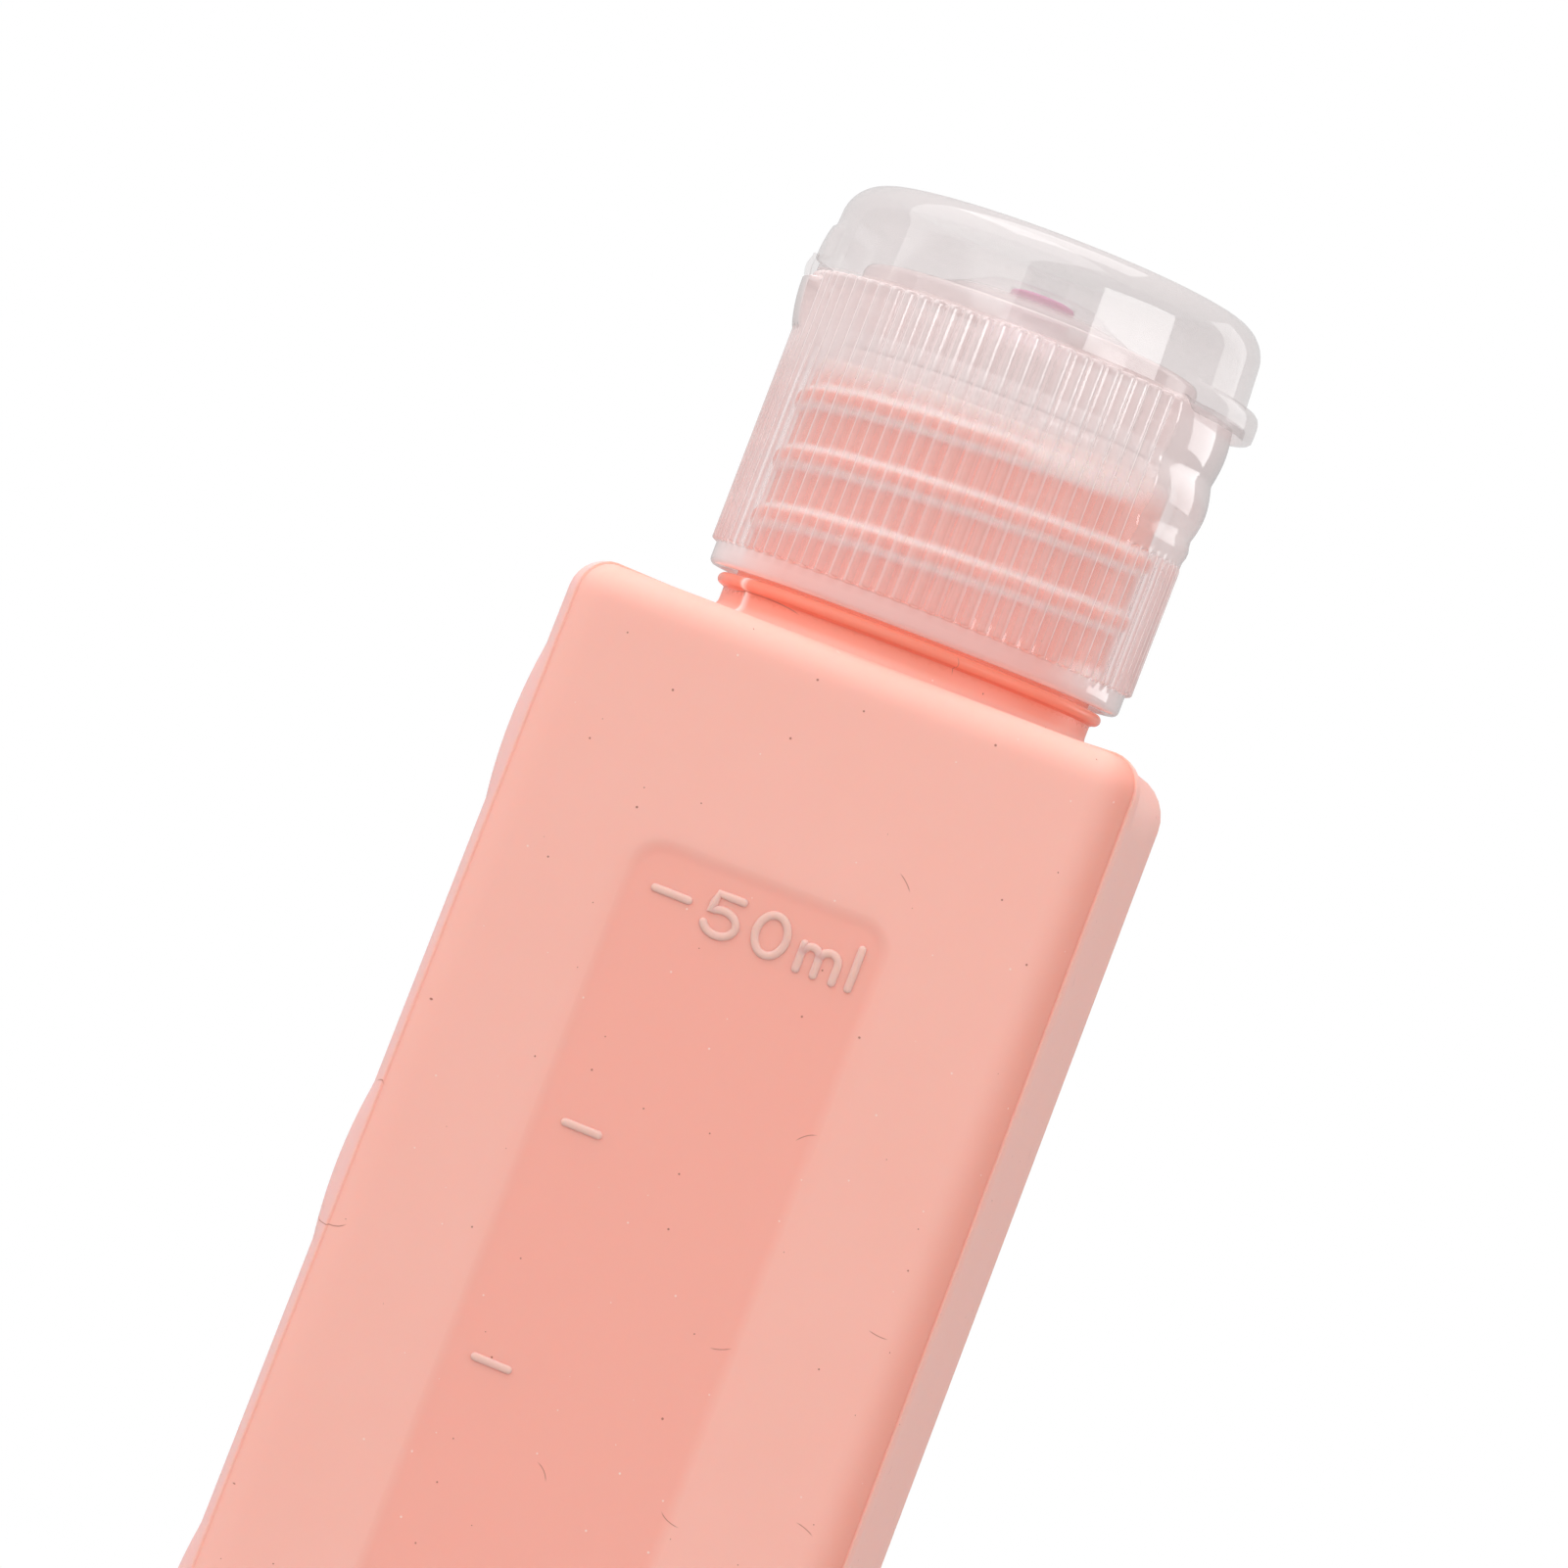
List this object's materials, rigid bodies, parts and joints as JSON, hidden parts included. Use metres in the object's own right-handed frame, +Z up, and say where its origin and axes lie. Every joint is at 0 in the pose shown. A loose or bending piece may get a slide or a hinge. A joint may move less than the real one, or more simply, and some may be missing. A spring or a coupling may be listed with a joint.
{
  "type": "travel squeeze bottle",
  "caption": "Rectangular soft silicone travel bottle with a round neck, a translucent ribbed screw cap with a flip lid and spout, and a sunk scale window on the front.",
  "frame": {"origin": "centre of the base, on the surface that the bottle stands on", "axes": "+Z up the bottle, -Y out of the front with the scale window, +X towards the lid's thumb tab"},
  "size_m": [0.0344, 0.028, 0.1106],
  "materials": {
    "coral_silicone": "soft satin silicone",
    "clear_plastic": "natural translucent polypropylene",
    "white_plastic": "milky polypropylene",
    "seal_ring": "matt foam ring",
    "pink_silicone": "soft satin silicone"
  },
  "bodies": {
    "bottle": {"bottle_body": "coral_silicone", "neck_sleeve": "white_plastic"},
    "liner": {"seal_liner": "seal_ring"},
    "valve": {"no_drip_valve": "pink_silicone", "valve_retainer": "white_plastic"},
    "cap": {"screw_cap": "clear_plastic", "hinge_web": "clear_plastic"},
    "lid": {"flip_lid": "clear_plastic"}
  },
  "joints": [
    {"name": "cap_lift", "type": "slide", "parent": "bottle", "child": "liner", "axis": [0, 0, 1], "range_m": [0, 0.018]},
    {"name": "cap_rise", "type": "slide", "parent": "liner", "child": "valve", "axis": [0, 0, 1], "range_m": [0, 0.007]},
    {"name": "cap_turn", "type": "hinge", "parent": "valve", "child": "cap", "pos_m": [0.0006, 0, 0.0955], "axis": [0, 0, 1], "range_deg": [0, 720]},
    {"name": "lid_flip", "type": "hinge", "parent": "cap", "child": "lid", "pos_m": [-0.0125, 0, 0.10495], "axis": [0, -1, 0], "range_deg": [0, 170], "deforming": ["hinge_web"]}
  ],
  "couplings": [
    {"joint": "cap_turn", "follows": "cap_rise", "rad_per_m": 1795.2}
  ]
}
